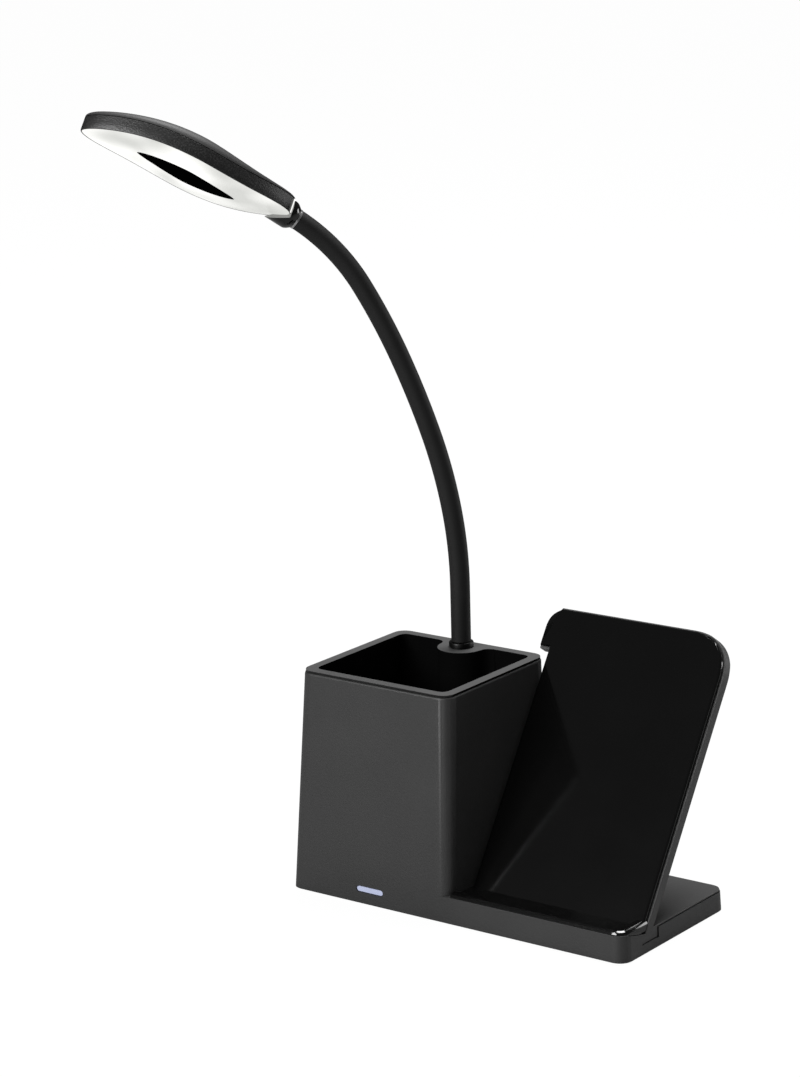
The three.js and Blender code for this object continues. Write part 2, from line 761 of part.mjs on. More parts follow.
function buildSocket() {
  const bottom = holderHeight - ferruleLength;
  const flangeZ = holderHeight + gap;
  const flangeTop = flangeZ + ferruleFlange.height;
  return joined(
    washer(neckX, neckY, ferruleRadius, coreRadius + gap, bottom, flangeTop),
    washer(neckX, neckY, ferruleFlange.radius, coreRadius + gap, flangeZ, flangeTop),
  );
}

function buildNut() {
  const top = holderHeight - bossHead - gap;
  const hexagon = post(0, 0, nut.radius, top - nut.height, top, 6).rotate([0, 0, 30]);
  const bore = post(0, 0, ferruleRadius + gap, top - nut.height - overrun, top + overrun, roundSides);
  return hexagon.subtract(bore).translate([neckX, neckY, 0]);
}

// Head, built along X from the neck end, with its lit face down, then set on the neck

const headAxis = outward.clone().multiplyScalar(Math.cos(degToRad(headTilt)));
headAxis.z = Math.sin(degToRad(headTilt));
const levelUp = headAxis.clone().cross(sideways);
const rolledSide = sideways.clone().multiplyScalar(Math.cos(degToRad(headRoll)));
rolledSide.addScaledVector(levelUp, Math.sin(degToRad(headRoll)));
const headUp = headAxis.clone().cross(rolledSide);
const headOrigin = neckPoint(neckLength).addScaledVector(headAxis, headAhead).addScaledVector(headUp, headLift);
const headMatrix = new THREE.Matrix4().makeBasis(headAxis, rolledSide, headUp).setPosition(headOrigin);
const neckInHead = headMatrix.clone().invert().multiply(neckMatrix(neckLength));

function bendAt(x) {
  const turn = (x / headLength) * Math.PI;
  return -(bendWave * Math.sin(turn * 2) + bendBow * Math.sin(turn));
}

const signedPower = (value, power) => Math.sign(value) * Math.abs(value) ** power;

// A ring of the head's outline, set in, then narrowed to a share of its width
function headRing(inset, levelAt, share = 1) {
  const points = [];
  for (let step = 0; step < headSteps; step += 1) {
    const angle = ((step + 0.5) / headSteps) * Math.PI * 2;
    const across = signedPower(Math.cos(angle), 2 / headCurveShare);
    const along = signedPower(Math.sin(angle), 2 / headCurveShare);
    const normal = new THREE.Vector2(
      signedPower(across, headCurveShare - 1) * headWidth,
      signedPower(along, headCurveShare - 1) * headLength,
    ).normalize();
    const x = (1 + across) * headLength / 2 - normal.x * inset;
    const y = along * headWidth / 2 - normal.y * inset;
    points.push(new THREE.Vector3(x, y * share, levelAt(x) + bendAt(x)));
  }
  return points;
}

const level = (z) => () => z;

function slab(inset, bottom, top) {
  return solid(loft([
    headRing(inset, level(bottom), spineShare),
    headRing(inset, level(bottom)),
    headRing(inset, level(top)),
    headRing(inset, level(top), spineShare),
  ]));
}

function headPostAt(side, radius, bottom, top) {
  const x = headLength / 2 + side * headPost.spacing / 2;
  const bend = bendAt(x);
  return post(x, 0, radius, bottom + bend, top + bend);
}

const sides = [-1, 1];
const webTop = webBottom + webThickness;

// The boot round the neck's end, in the head's own directions
function boot(clearance) {
  const outline = [new THREE.Vector2(0, -clearance)];
  for (let step = 0; step <= cornerSteps; step += 1) {
    const share = step / cornerSteps;
    const radius = bootNeckRadius + (bootRadius - bootNeckRadius) * Math.sin(share * Math.PI / 2);
    outline.push(new THREE.Vector2(radius + clearance, bootRounding * share - clearance));
  }
  outline.push(new THREE.Vector2(bootRadius + clearance, bootLength), new THREE.Vector2(0, bootLength));
  const turned = new THREE.LatheGeometry(outline, bootSides);
  turned.rotateX(Math.PI / 2);
  turned.applyMatrix4(neckInHead);
  const size = headLength * 2;
  const above = new THREE.BoxGeometry(size, size, size);
  above.translate(headOrigin.x, headOrigin.y, headOrigin.z - bootSeat + clearance + size / 2);
  above.applyMatrix4(headMatrix.clone().invert());
  const beyond = box(bootReach + clearance, size, -size, size, -size, size);
  return solid(turned).subtract(solid(above).intersect(beyond));
}

function buildHeadFrame() {
  const band = solid(loft([
    headRing(bandEdge, level(0)),
    headRing(0, level(bandEdge)),
    headRing(0, level(bandHeight)),
    headRing(bandWall, level(bandHeight)),
    headRing(bandWall, level(0)),
  ], true));
  const bore = new THREE.CylinderGeometry(coreRadius + gap, coreRadius + gap, pinLength * 2 + gap * 2, roundSides);
  bore.rotateX(Math.PI / 2);
  bore.applyMatrix4(neckInHead);
  const holes = sides.map((side) => headPostAt(side, headScrew.radius + gap, webBottom - overrun / 2, webTop + overrun));
  const half = bootTongue.width / 2;
  const tongue = box(-bandEdge, bootTongue.length, -half, half, webBottom, webTop - bandEdge);
  return joined(band, slab(bandWall / 2, webBottom, webTop), boot(0), tongue)
    .subtract(solid(bore))
    .subtract(joined(...holes));
}

function riseShareAt(x) {
  const share = Math.min(x / (headLength / 2), 1);
  return domeNeckShare + (1 - domeNeckShare) * share * share * (3 - 2 * share);
}

const domeSteps = [0, 0.25, 0.5, 0.75, 1];

function domeRings(inset, rise, bottom) {
  const shoulder = domeSteps.map((share) => {
    const angle = share * Math.PI / 2;
    const reach = inset + (domeShoulder - inset) * (1 - Math.cos(angle));
    return headRing(reach, (x) => bottom + rise * riseShareAt(x) * Math.sin(angle));
  });
  return [...shoulder, headRing(domeShoulder, (x) => bottom + rise * riseShareAt(x), spineShare)];
}

const domeBottom = bandHeight + gap;
const postBottom = webTop + gap;

function buildTopCover() {
  const inner = domeRings(domeShell, domeRise - domeShell, domeBottom).reverse();
  const outer = domeRings(0, domeRise, domeBottom);
  const posts = sides.map((side) => {
    const x = headLength / 2 + side * headPost.spacing / 2;
    return headPostAt(side, headPost.radius, postBottom, domeUnder(x) - bendAt(x) + domeShell / 2);
  });
  const bores = sides.map((side) => headPostAt(side, headScrew.radius + gap, postBottom - overrun, postBottom + headScrew.length));
  return joined(solid(loft([...inner, ...outer])), ...posts).subtract(joined(...bores));
}

function faceLevelAt(x, share) {
  const fade = Math.sqrt(Math.max(Math.sin((x / headLength) * Math.PI), 0));
  return diffuserEdge - diffuserBulge * (1 - share ** 2) * fade;
}

const diffuserInset = bandWall + gap;
const faceShares = [spineShare, 0.4, 0.7, 0.9, 1];

function eyeRing(clearance, levelAt, share = 1) {
  const points = [];
  for (let step = 0; step < headSteps; step += 1) {
    const angle = ((step + 0.5) / headSteps) * Math.PI * 2;
    const halfWidth = eye.width / 2 + clearance;
    const x = eye.middle + signedPower(Math.cos(angle), 2 / eye.curveShare) * (eye.length / 2 + clearance);
    const y = signedPower(Math.sin(angle), 2 / eye.curveShare) * halfWidth * share;
    points.push(new THREE.Vector3(x, y, levelAt(x, y)));
  }
  return points;
}

function halfWidthAt(x) {
  const along = Math.abs(x / (headLength / 2) - 1);
  return (headWidth / 2) * (1 - Math.min(along, 1) ** headCurveShare) ** (1 / headCurveShare);
}

function buildDiffuser() {
  const lower = faceShares.map((share) => headRing(diffuserInset, (x) => faceLevelAt(x, share), share));
  const upper = faceShares.map((share) => (
    headRing(diffuserInset, (x) => faceLevelAt(x, share) + diffuserThickness, share)
  )).reverse();
  const opening = solid(loft([eyeRing(0, level(-overrun * 2)), eyeRing(0, level(overrun * 2))]));
  return solid(loft([...lower, ...upper])).subtract(opening).subtract(boot(gap));
}

function buildCentrePlate() {
  const surface = (lift) => (x, y) => faceLevelAt(x, y / halfWidthAt(x)) + bendAt(x) + lift;
  const shares = [spineShare, 0.5, 1];
  const lower = shares.map((share) => eyeRing(-gap, surface(eye.recess), share));
  const upper = shares.map((share) => eyeRing(-gap, surface(diffuserThickness), share)).reverse();
  return solid(loft([...lower, ...upper]));
}

const ledBoardTop = webBottom - gap;
const ledBoardBottom = ledBoardTop - ledBoard.thickness;

function buildLedBoard() {
  const plate = slab(ledBoard.inset, ledBoardBottom, ledBoardTop);
  const chipRing = headRing(ledBoard.ring, bendAt);
  const { chips, chipLength, chipWidth, chipHeight } = ledBoard;
  const lamps = [];
  for (let chip = 0; chip < chips; chip += 1) {
    const { x, y } = chipRing[Math.round(((chip + 0.5) / chips) * headSteps) % headSteps];
    const z = ledBoardBottom + bendAt(x);
    lamps.push(box(x - chipLength / 2, x + chipLength / 2, y - chipWidth / 2, y + chipWidth / 2,
      z - chipHeight, z + ledBoard.thickness / 2));
  }
  const holes = sides.map((side) => (
    headPostAt(side, headScrew.headRadius + gap, ledBoardBottom - overrun, ledBoardTop + overrun)
  ));
  return joined(plate, ...lamps).subtract(joined(...holes)).subtract(boot(gap));
}

function buildHeadScrew(side) {
  const headTop = webBottom - gap;
  return joined(
    headPostAt(side, headScrew.headRadius, headTop - headScrew.headHeight, headTop),
    headPostAt(side, headScrew.radius, headTop - headScrew.headHeight / 2, headTop + headScrew.length),
  );
}

const driverX = headLength / 2;
const driverEnds = [driverX - driverBoard.length / 2, driverX + driverBoard.length / 2];
const driverSlope = (bendAt(driverEnds[1]) - bendAt(driverEnds[0])) / driverBoard.length;
const driverBottom = webTop + gap;
const driverTop = driverBottom + driverBoard.thickness;
const domeUnder = (x) => domeBottom + (domeRise - domeShell) * riseShareAt(x) + bendAt(x);

// The board lies along the slope of the web below it
function buildDriverBoard() {
  const half = driverBoard.width / 2;
  const slopeAt = (x) => bendAt(driverX) + driverSlope * (x - driverX);
  const boardRing = (z) => ring(driverEnds[0], driverEnds[1], -half, half, leastRadius, z)
    .map((point) => point.setZ(z + slopeAt(point.x)));
  return block(boardRing, driverBottom, driverTop);
}

function buildTouchElectrode() {
  const rise = driverSlope * touchRadius;
  const top = Math.min(domeUnder(driverX - touchRadius), domeUnder(driverX + touchRadius)) - gap;
  return post(driverX, 0, touchRadius, driverTop + bendAt(driverX) + rise + gap, top);
}

addPiece('main_housing', buildHousing(), matteShell);
addPiece('cup_insert', buildCup(), gloss);
addPiece('stand_frame', buildStandFrame(), frameShell);
addPiece('stand_cover', buildStandCover(), gloss);
addPiece('bottom_cover', buildBottomCover(), underside);
addPiece('anti_slip_pad', buildPad(), rubber);
addPiece('ballast_plate', buildBallast(), steel);
screwPlaces.forEach((place, i) => addPiece(`bottom_screw_${i + 1}`, buildScrew(place), steel));
standScrewPlaces.forEach((place, i) => addPiece(`stand_screw_${i + 1}`, buildScrew(place), steel));
addPiece('main_circuit_board', buildMainBoard(), board);
addPiece('usb_inlet', buildInlet(), steel);
addPiece('indicator_window', buildIndicatorWindow(), tinted);
addPiece('indicator_led', buildIndicatorLed(), board);
const ferriteTop = -(coil.thickness + gap);
const chargerTop = ferriteTop - ferriteSheet.thickness - gap;
addPiece('charging_coil', buildCoil(), copper, standMatrix);
const ferriteHalf = coilRadius + ferriteSheet.margin;
const boardHalf = pocketHalfHeight - chargerBoard.fromPocketEnds;
addPiece('ferrite_sheet', chargerLayer(ferriteHalf, ferriteHalf, ferriteTop, ferriteSheet.thickness), ferrite);
addPiece('charger_board', chargerLayer(coilRadius, boardHalf, chargerTop, chargerBoard.thickness), board);
addPiece('neck_socket', buildSocket(), steel);
addPiece('neck_nut', buildNut(), steel);
jointPlaces.forEach((_, i) => addPiece(`core_link_${i}`, buildCoreLink(i), steel));
jointPlaces.slice(1).forEach((_, i) => addPiece(`sleeve_${i + 1}`, buildSleeve(i), rubber));
const ringMatrix = neckMatrix(neckLength - gap - collarRing.length);
addPiece('collar_ring', washer(0, 0, collarRing.radius, coreRadius + gap, 0, collarRing.length), steel, ringMatrix);
addPiece('head_frame', buildHeadFrame(), satin, headMatrix);
addPiece('head_top_cover', buildTopCover(), domeShellFinish, headMatrix);
addPiece('diffuser', buildDiffuser(), frosted, headMatrix);
addPiece('centre_plate', buildCentrePlate(), gloss, headMatrix);
addPiece('led_board', buildLedBoard(), whiteBoard, headMatrix);
addPiece('driver_board', buildDriverBoard(), board, headMatrix);
addPiece('touch_electrode', buildTouchElectrode(), copper, headMatrix);
sides.forEach((side, i) => addPiece(`head_screw_${i + 1}`, buildHeadScrew(side), steel, headMatrix));

export default parts;
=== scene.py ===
# Desk lamp with a bending neck, a pen holder and a leaning charging stand
import json
import math

import bmesh
import bpy
from mathutils import Matrix, Vector


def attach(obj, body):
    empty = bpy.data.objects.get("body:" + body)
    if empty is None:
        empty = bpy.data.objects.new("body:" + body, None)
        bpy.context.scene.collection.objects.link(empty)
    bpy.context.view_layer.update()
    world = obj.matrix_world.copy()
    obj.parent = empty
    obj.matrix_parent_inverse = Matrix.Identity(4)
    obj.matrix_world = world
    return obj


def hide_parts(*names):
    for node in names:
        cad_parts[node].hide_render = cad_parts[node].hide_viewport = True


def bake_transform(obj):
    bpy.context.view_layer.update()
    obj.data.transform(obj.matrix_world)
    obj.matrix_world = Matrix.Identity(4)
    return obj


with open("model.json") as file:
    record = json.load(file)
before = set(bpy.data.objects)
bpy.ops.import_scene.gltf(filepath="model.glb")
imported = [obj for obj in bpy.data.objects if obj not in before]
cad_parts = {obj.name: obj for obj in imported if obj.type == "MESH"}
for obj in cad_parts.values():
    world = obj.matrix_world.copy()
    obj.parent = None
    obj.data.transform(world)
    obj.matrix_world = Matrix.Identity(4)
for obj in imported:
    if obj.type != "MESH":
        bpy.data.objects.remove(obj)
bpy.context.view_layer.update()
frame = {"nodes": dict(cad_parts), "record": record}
print("frame loaded")

mm = 0.001
mergeGap = 0.000004  # m, nearer vertices of a finished piece become one
fineMergeGap = 0.000002  # m, the same before a piece is cut or bevelled


def addObject(name, data):
    made = bpy.data.objects.new(name, data)
    bpy.context.scene.collection.objects.link(made)
    return made


# Camera, from the photograph's viewing angle
cameraSet = {
    "lens": 115.6,
    "sensor": 36.0,
    "target": (-49.7, 4.0, 136.7),  # mm
    "distance": 1340.4,  # mm
    "yaw": 0.6427,  # radians to the right of the front
    "pitch": 0.2526,
    "roll": -0.0257,
    "near": 0.05,  # m
    "far": 20.0,  # m
}


def makeCamera(s):
    level = Vector((-math.sin(s["yaw"]), math.cos(s["yaw"]), 0))
    right = Vector((level.y, -level.x, 0))
    view = level * math.cos(s["pitch"]) - Vector((0, 0, math.sin(s["pitch"])))
    up = right.cross(view)
    turnedRight = right * math.cos(s["roll"]) + up * math.sin(s["roll"])
    turnedUp = up * math.cos(s["roll"]) - right * math.sin(s["roll"])
    data = bpy.data.cameras.new("camera")
    data.lens = s["lens"]
    data.sensor_width = s["sensor"]
    data.sensor_height = s["sensor"]
    data.sensor_fit = "AUTO"
    data.clip_start = s["near"]
    data.clip_end = s["far"]
    camera = addObject("camera", data)
    place = Vector(s["target"]) - view * s["distance"]
    turn = Matrix((turnedRight, turnedUp, -view)).transposed().to_4x4()
    camera.matrix_world = Matrix.Translation(place * mm) @ turn
    bpy.context.scene.camera = camera


makeCamera(cameraSet)
print("camera placed")


# Shader maths as Python sums on sockets
class Link:
    def __init__(self, paint, socket):
        self.paint = paint
        self.socket = socket

    def maths(self, operation, first, second=0.0):
        return self.paint.node("Math", {"operation": operation}, {0: first, 1: second})

    def __add__(self, other):
        return self.maths("ADD", self, other)

    def __radd__(self, other):
        return self.maths("ADD", other, self)

    def __sub__(self, other):
        return self.maths("SUBTRACT", self, other)

    def __rsub__(self, other):
        return self.maths("SUBTRACT", other, self)

    def __mul__(self, other):
        return self.maths("MULTIPLY", self, other)

    def __rmul__(self, other):
        return self.maths("MULTIPLY", other, self)

    def __truediv__(self, other):
        return self.maths("DIVIDE", self, other)

    def __rtruediv__(self, other):
        return self.maths("DIVIDE", other, self)

    def __pow__(self, other):
        return self.maths("POWER", self, other)

    def __abs__(self):
        return self.maths("ABSOLUTE", self)


class Paint:
    def __init__(self, name, **constants):
        self.material = bpy.data.materials.new(name)
        self.material.use_nodes = True
        self.tree = self.material.node_tree
        self.shader = self.tree.nodes["Principled BSDF"]
        for socket, value in constants.items():
            self.shader.inputs[socket].default_value = value
        self.spot = self.node("TexCoord", output="Object")

    def node(self, kind, settings=None, sockets=None, output=0):
        made = self.tree.nodes.new("ShaderNode" + kind)
        for key, value in (settings or {}).items():
            if key == "stops":
                self.setStops(made.color_ramp, value)
            else:
                setattr(made, key, value)
        for key, value in (sockets or {}).items():
            self.feed(made.inputs[key], value)
        return Link(self, made.outputs[output])

    def setStops(self, ramp, stops):
        while len(ramp.elements) < len(stops):
            ramp.elements.new(0.5)
        for element, (place, shade) in zip(ramp.elements, stops):
            element.position = place
            element.color = grey(shade)

    def feed(self, socket, value):
        if isinstance(value, Link):
            self.tree.links.new(value.socket, socket)
        else:
            socket.default_value = value

    def give(self, socket, value):
        self.feed(self.shader.inputs[socket], value)

    def noise(self, scale, detail=2.0, rough=0.5):
        sockets = {"Vector": self.spot, "Scale": scale, "Detail": detail, "Roughness": rough}
        return self.node("TexNoise", None, sockets, "Fac")

    def cells(self, feature, scale):
        sockets = {"Vector": self.spot, "Scale": scale}
        return self.node("TexVoronoi", {"feature": feature}, sockets, "Distance")

    def ramp(self, value, stops):
        return self.node("ValToRGB", {"stops": stops}, {"Fac": value})

    def mix(self, share, first, second):
        sockets = {"Factor": share, 6: first, 7: second}
        return self.node("Mix", {"data_type": "RGBA"}, sockets, 2)

    def bump(self, height, distance, strength=1.0):
        sockets = {"Height": height, "Distance": distance, "Strength": strength}
        self.give("Normal", self.node("Bump", None, sockets, "Normal"))


def grey(level):
    return (level, level, level, 1)


# A noise's swing to both sides of its middle, as a change of roughness
def swing(value, reach, middle=0.5):
    return (value - middle) * reach


# Moulded plastics: a fine spark-eroded grain with slow changes in sheen
def mouldedPlastic(name, shade, lift, roughness, grain, depth):
    paint = Paint(name, **{"Specular IOR Level": 0.5})
    cloud = paint.noise(scale=38, detail=3)
    fine = paint.noise(scale=grain, detail=3, rough=0.62)
    paint.give("Base Color", paint.mix(cloud, shade, lift))
    paint.give("Roughness", roughness + swing(cloud, 0.12) + swing(fine, 0.1))
    paint.bump(fine, depth)
    return paint.material


def glossPlastic(name, shade, roughness, specular=0.5):
    paint = Paint(name, **{"Base Color": shade, "Specular IOR Level": specular, "IOR": 1.5})
    smear = paint.noise(scale=24, detail=4, rough=0.6)
    waves = paint.noise(scale=9, detail=1)
    paint.give("Roughness", roughness + swing(smear, 0.08, middle=0.4))
    paint.bump(waves, distance=0.0003, strength=0.25)
    return paint.material


# The cup: gloss, with a grained flat top on its rim, which fades in just below the rim's height
def cupPlastic(name, shade, topShade, roughness, topRoughness, topZ, fadeStart, fadeEnd):
    paint = Paint(name, **{"Specular IOR Level": 0.5})
    z = paint.node("SeparateXYZ", None, {"Vector": paint.spot}, "Z")
    fade = {"Value": z, "From Min": topZ - fadeStart, "From Max": topZ - fadeEnd}
    top = paint.node("MapRange", {"clamp": True}, fade, "Result")
    cloud = paint.noise(scale=40, detail=3)
    fine = paint.noise(scale=1300, detail=3, rough=0.62)
    paint.give("Base Color", paint.mix(top, shade, topShade))
    paint.give("Roughness", roughness + top * (topRoughness - roughness) + swing(cloud, 0.08))
    paint.bump(fine * top, distance=0.00006)
    return paint.material


def softRubber(name, shade, lift, roughness):
    paint = Paint(name, **{"Specular IOR Level": 0.25})
    fine = paint.noise(scale=1900, detail=2, rough=0.6)
    cloud = paint.noise(scale=55, detail=3)
    paint.give("Base Color", paint.mix(cloud, shade, lift))
    paint.give("Roughness", roughness + swing(cloud, 0.16))
    paint.bump(fine, distance=0.00006, strength=0.7)
    return paint.material


# Satin plastic with light specks in a leathery grain
def speckledSatin(name, shade, lift, roughness):
    paint = Paint(name, **{"Specular IOR Level": 0.6})
    speck = paint.cells("F1", scale=2100)
    fine = paint.noise(scale=1500, detail=2, rough=0.7)
    paint.give("Base Color", paint.mix(paint.ramp(fine, [(0.52, 0), (0.7, 1)]), shade, lift))
    paint.give("Roughness", roughness + fine * 0.2)
    paint.bump(speck * 0.6 + fine, distance=0.00012, strength=0.8)
    return paint.material


def brushedMetal(name, shade, roughness):
    paint = Paint(name, **{"Base Color": shade, "Metallic": 1.0})
    fine = paint.noise(scale=900, detail=3)
    paint.give("Roughness", roughness + swing(fine, 0.14))
    paint.bump(fine, distance=0.00003, strength=0.5)
    return paint.material


def litDiffuser(name, dull, strength):
    body = {"Base Color": (0.2, 0.2, 0.195, 1), "Roughness": 0.32, "Emission Strength": strength}
    paint = Paint(name, **body)
    cloud = paint.noise(scale=48, detail=1, rough=0.4)
    warm = paint.mix(paint.ramp(cloud, [(0.3, 0), (0.66, 1)]), dull, (1.0, 1.0, 0.97, 1))
    paint.give("Emission Color", warm)
    return paint.material


def tintedWindow(name):
    paint = Paint(name, **{"Roughness": 0.3, "Emission Strength": 0.3})
    cloud = paint.noise(scale=160, detail=2)
    paint.give("Base Color", paint.mix(cloud, (0.3, 0.33, 0.45, 1), (0.42, 0.45, 0.58, 1)))
    paint.give("Emission Color", paint.mix(cloud, (0.34, 0.38, 0.56, 1), (0.5, 0.54, 0.74, 1)))
    return paint.material


def circuitBoard(name, shade, lift):
    paint = Paint(name, **{"Roughness": 0.42})
    tracks = paint.cells("DISTANCE_TO_EDGE", scale=420)
    lines = paint.ramp(tracks, [(0.06, 1), (0.1, 0)])
    paint.give("Base Color", paint.mix(lines, shade, lift))
    paint.bump(lines, distance=0.00004)
    return paint.material


def woundCopper(name, shade, roughness):
    paint = Paint(name, **{"Base Color": shade, "Metallic": 1.0})
    fine = paint.noise(scale=700, detail=2)
    paint.give("Roughness", roughness + fine * 0.2)
    paint.bump(fine, distance=0.00005)
    return paint.material


def moulded(shade, lift, roughness, grain, depth):
    return mouldedPlastic, {"shade": grey(shade), "lift": grey(lift), "roughness": roughness,
                            "grain": grain, "depth": depth}


def metal(shade, roughness):
    return brushedMetal, {"shade": grey(shade), "roughness": roughness}


# Each finish's maker and settings. Grain is per metre, depths and heights are in metres.
looks = {
    "matte_shell": moulded(0.022, 0.028, roughness=0.5, grain=1300, depth=0.00008),
    # frame_shell is the housing's dark grey plastic, painted lighter than matte_shell: painted light on
    # the stand's sides and deck
    "frame_shell": moulded(0.034, 0.043, roughness=0.52, grain=1300, depth=0.00008),
    "gloss_shell": (glossPlastic, {"shade": grey(0.0015), "roughness": 0.1}),
    "cup_shell": (cupPlastic, {"shade": grey(0.003), "topShade": grey(0.05), "roughness": 0.1,
                               "topRoughness": 0.48, "topZ": 0.09, "fadeStart": 0.00012,
                               "fadeEnd": 0.00006}),
    "eye_plate": (glossPlastic, {"shade": grey(0.001), "roughness": 0.4, "specular": 0.0}),
    "foot_metal": metal(0.02, roughness=0.4),
    "underside": moulded(0.012, 0.016, roughness=0.6, grain=900, depth=0.0001),
    "black_rubber": (softRubber, {"shade": grey(0.006), "lift": grey(0.01), "roughness": 0.62}),
    "satin_shell": (speckledSatin, {"shade": grey(0.004), "lift": grey(0.022), "roughness": 0.34}),
    "grey_cover": moulded(0.01, 0.015, roughness=0.6, grain=1500, depth=0.00006),
    "frosted_white": (litDiffuser, {"dull": (0.56, 0.565, 0.54, 1), "strength": 0.95}),
    # Painted light: a glowing finish for the strip that stands in for the lit face's light on the boot's
    # cut face
    "bright_seam": (litDiffuser, {"dull": (0.85, 0.85, 0.83, 1), "strength": 1.1}),
    "tinted_window": (tintedWindow, {}),
    "white_board": moulded(0.7, 0.8, roughness=0.4, grain=700, depth=0.00003),
    "circuit_board": (circuitBoard, {"shade": (0.01, 0.06, 0.02, 1), "lift": (0.03, 0.16, 0.05, 1)}),
    "ferrite": moulded(0.02, 0.03, roughness=0.7, grain=600, depth=0.0001),
    "copper": (woundCopper, {"shade": (0.55, 0.2, 0.07, 1), "roughness": 0.3}),
    "dark_metal": metal(0.16, roughness=0.25),
    "steel": metal(0.5, roughness=0.3),
}
finishes = {name: maker(name, **settings) for name, (maker, settings) in looks.items()}
print("finishes made")

for entry in frame["record"]["subparts"]:
    slots = frame["nodes"][entry["node"]].material_slots
    slots[0].material = finishes[entry["material_slot"]]


# Finishing a new piece
def makePiece(name, bm, slot, body, *replaced, sharpAngle=40.0, finish=None):
    bmesh.ops.remove_doubles(bm, verts=bm.verts, dist=mergeGap)
    bmesh.ops.recalc_face_normals(bm, faces=bm.faces)
    mesh = bpy.data.meshes.new(name)
    bm.to_mesh(mesh)
    bm.free()
    mesh.polygons.foreach_set("use_smooth", [True] * len(mesh.polygons))
    mesh.set_sharp_from_angle(angle=math.radians(sharpAngle))
    piece = addObject(name, mesh)
    mesh.materials.append(finishes[finish or slot])
    if body:
        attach(piece, body)
    if replaced:
        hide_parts(*replaced)
    return piece


# Lengths in mm, angles in degrees, leastFacet in facet steps, flatArea in square mm
shellSet = {
    "edge": 0.35,
    "steps": 3,
    "sharp": 32.0,
    "flatAngle": 0.6,
    "facetAngles": (9.0, 26.0),
    "facetShare": 0.42,
    "facetSteps": 3,
    "facetStep": 0.05,
    "leastFacet": 6,
    "leastEdge": 0.02,
    "flatArea": 40.0,
    "clamp": True,
}


# The facet edges of round corners by the width of their facets, in steps
def facetEdges(bm, settings):
    least, most = (math.radians(a) for a in settings["facetAngles"])
    sizes = {}
    for edge in bm.edges:
        long = edge.calc_length() > settings["facetStep"] * mm
        if long and edge.is_manifold and least < edge.calc_face_angle(0) < most:
            widths = [face.calc_area() / edge.calc_length() for face in edge.link_faces]
            sizes.setdefault(round(min(widths) / (settings["facetStep"] * mm)), []).append(edge)
    return sizes


# Turns each facet edge of a round corner into a few finer facets, the widest first
def roundFacets(bm, settings):
    done = set()
    while True:
        sizes = {size: edges for size, edges in facetEdges(bm, settings).items()
                 if size >= settings["leastFacet"] and size not in done}
        if not sizes:
            return
        size = max(sizes)
        done.add(size)
        width = size * settings["facetStep"] * settings["facetShare"]
        bmesh.ops.bevel(bm, geom=sizes[size], offset=width * mm, offset_type="OFFSET",
                        segments=settings["facetSteps"], profile=0.5, affect="EDGES", clamp_overlap=True,
                        material=-1)


# A CAD shape with its edges softened
def softenedCopy(node, name, slot, body, settings, finish=None):
    bm = bmesh.new()
    bm.from_mesh(frame["nodes"][node].data)
    bmesh.ops.remove_doubles(bm, verts=bm.verts, dist=fineMergeGap)
    flatAngle = math.radians(settings["flatAngle"])
    bmesh.ops.dissolve_limit(bm, angle_limit=flatAngle, verts=bm.verts, edges=bm.edges)
    roundFacets(bm, settings)
    bmesh.ops.remove_doubles(bm, verts=bm.verts, dist=settings["leastEdge"] * mm)
    piece = makePiece(name, bm, slot, body, node, sharpAngle=settings["sharp"], finish=finish)
    mesh = piece.data
    for face in mesh.polygons:
        if face.area > settings["flatArea"] * mm * mm:
            for corner in face.loop_indices:
                mesh.edges[mesh.loops[corner].edge_index].use_edge_sharp = True
    bevel = piece.modifiers.new("edges", "BEVEL")
    bevel.width = settings["edge"] * mm
    bevel.segments = settings["steps"]
    bevel.limit_method = "ANGLE"
    bevel.angle_limit = math.radians(settings["sharp"])
    bevel.harden_normals = True
    bevel.use_clamp_overlap = settings["clamp"]


# The stand's back has very short edges beside long ones, so its bevel is small and not clamped by them
backSet = {**shellSet, "edge": 0.12, "clamp": False}
glossSet = {**shellSet, "edge": 0.25}
softenedCopy("main_housing", "housing", "matte_shell", "base", shellSet)
softenedCopy("stand_frame", "stand_back", "frame_shell", "base", backSet)
softenedCopy("cup_insert", "cup", "gloss_shell", "base", glossSet, "cup_shell")
softenedCopy("stand_cover", "stand_front", "gloss_shell", "base", glossSet)
print("base shells made")


# Neck: six stretches of steady curve, and the sleeve's lengths that each cross one joint, in mm
neckSet = {
    "foot": (-36.5, 24.8, 90.0),
    "plane": 45.0,  # degrees from straight left towards the front
    "lengths": [24, 32, 32, 32, 32, 37.1],
    "turns": [0, 9.6, 8.3, 4.8, 6.8, 25.5],  # degrees
    "radius": 3.9,
    "bore": 3.0,
    "start": 2.6,
    "end": 188.0,
    "sides": 48,
    "stepLength": 1.6,
    "leastSteps": 2,
    "leastLength": 0.01,
}
joints = [sum(neckSet["lengths"][: i + 1]) for i in range(len(neckSet["lengths"]))]
planeAngle = math.radians(neckSet["plane"])
outward = Vector((-math.cos(planeAngle), -math.sin(planeAngle), 0))
sideways = Vector((-outward.y, outward.x, 0))
upward = Vector((0, 0, 1))


# Place, direction and angle from upright at a length along the neck
def neckAt(along):
    place = Vector(neckSet["foot"])
    angle = 0.0
    rest = along
    for i, (length, degrees) in enumerate(zip(neckSet["lengths"], neckSet["turns"])):
        walked = min(rest, length) if i == 0 else max(min(rest, length), 0)
        turn = math.radians(degrees) * walked / length
        middle = angle + turn / 2
        chord = walked if turn == 0 else walked * math.sin(turn / 2) / (turn / 2)
        place = place + (outward * math.sin(middle) + upward * math.cos(middle)) * chord
        angle += turn
        rest -= walked
    tangent = outward * math.sin(angle) + upward * math.cos(angle)
    return place + tangent * rest, tangent, angle


